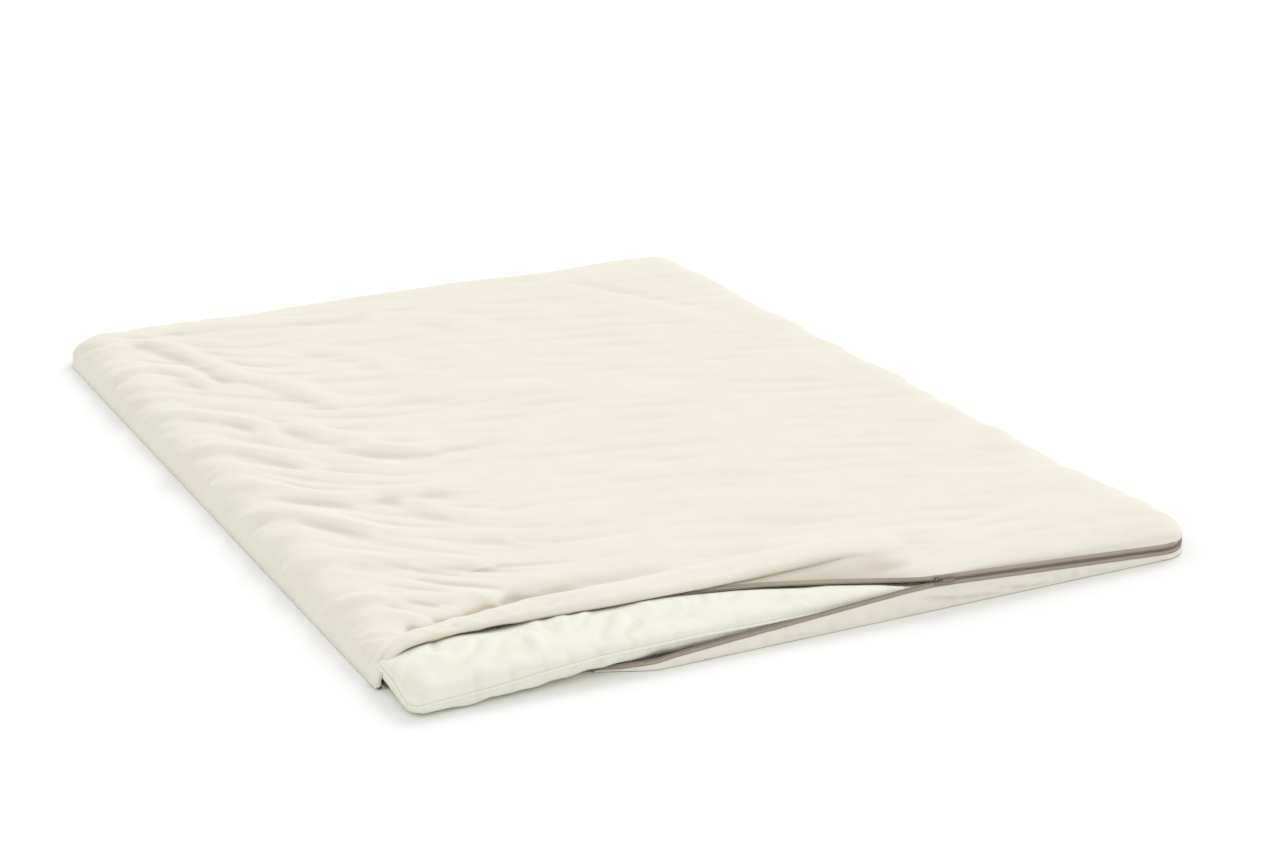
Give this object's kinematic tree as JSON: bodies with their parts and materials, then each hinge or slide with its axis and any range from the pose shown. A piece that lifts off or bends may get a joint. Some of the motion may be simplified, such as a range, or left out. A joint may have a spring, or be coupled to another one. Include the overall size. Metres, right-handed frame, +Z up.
{
  "type": "mattress topper with zipped cover",
  "caption": "Flat rectangular filled mattress pad lying in a soft removable cover, the zip along its end part open so the piped pad shows.",
  "frame": {"origin": "middle of the footprint, on the surface it lies on", "axes": "+Z up; +Y along the length, away from the zipped end; +X along the zipped end, towards the closed part of the zip"},
  "size_m": [1.372, 1.9094, 0.066],
  "materials": {
    "cover_cloth": "short brushed cream pile",
    "ticking": "plain woven off-white cotton",
    "filling": "loose white fibre wadding",
    "zip_tape": "woven taupe tape",
    "zip_coil": "satin moulded coil",
    "zip_metal": "aged dark brass-grey plating"
  },
  "bodies": {
    "topper": {"cover_top_panel": "cover_cloth", "cover_bottom_panel": "cover_cloth", "cover_edge_seam": "cover_cloth", "cover_lower_band": "cover_cloth", "zip_upper_tape": "zip_tape", "zip_upper_coil": "zip_coil", "zip_upper_tape_rise": "zip_tape", "zip_upper_coil_rise": "zip_coil", "zip_lower_tape": "zip_tape", "zip_lower_coil": "zip_coil", "zip_lower_tape_floor": "zip_tape", "zip_lower_coil_floor": "zip_coil", "zip_start_stop": "zip_metal", "zip_end_stop": "zip_metal", "pad_ticking_upper": "ticking", "pad_ticking_lower": "ticking", "pad_edge_piping": "ticking", "pad_wadding_upper": "filling", "pad_core": "filling", "pad_wadding_lower": "filling"},
    "upper_lip": {"cover_upper_lip": "cover_cloth", "zip_upper_tape_lip": "zip_tape", "zip_upper_coil_lip": "zip_coil"},
    "lower_lip": {"cover_lower_lip": "cover_cloth", "zip_lower_tape_lip": "zip_tape", "zip_lower_coil_lip": "zip_coil"},
    "slider": {"zip_slider_body": "zip_metal"},
    "pull_tab": {"zip_pull_tab": "zip_metal"}
  },
  "joints": [
    {"name": "slider_run", "type": "slide", "parent": "topper", "child": "slider", "axis": [0.9977, 0, -0.0684], "range_m": [0, 0.42]},
    {"name": "pull_tab_flip", "type": "hinge", "parent": "slider", "child": "pull_tab", "pos_m": [0.19, -0.9529, 0.0475], "axis": [-0.0684, 0, -0.9977], "range_deg": [0, 170]},
    {"name": "upper_lip_lift", "type": "hinge", "parent": "topper", "child": "upper_lip", "pos_m": [0, -0.7603, 0.062], "axis": [-1, 0, 0], "range_deg": [0, 50]},
    {"name": "lower_lip_fold", "type": "hinge", "parent": "topper", "child": "lower_lip", "pos_m": [0, -0.9503, 0.0004], "axis": [1, 0, 0], "range_deg": [0, 75]}
  ]
}
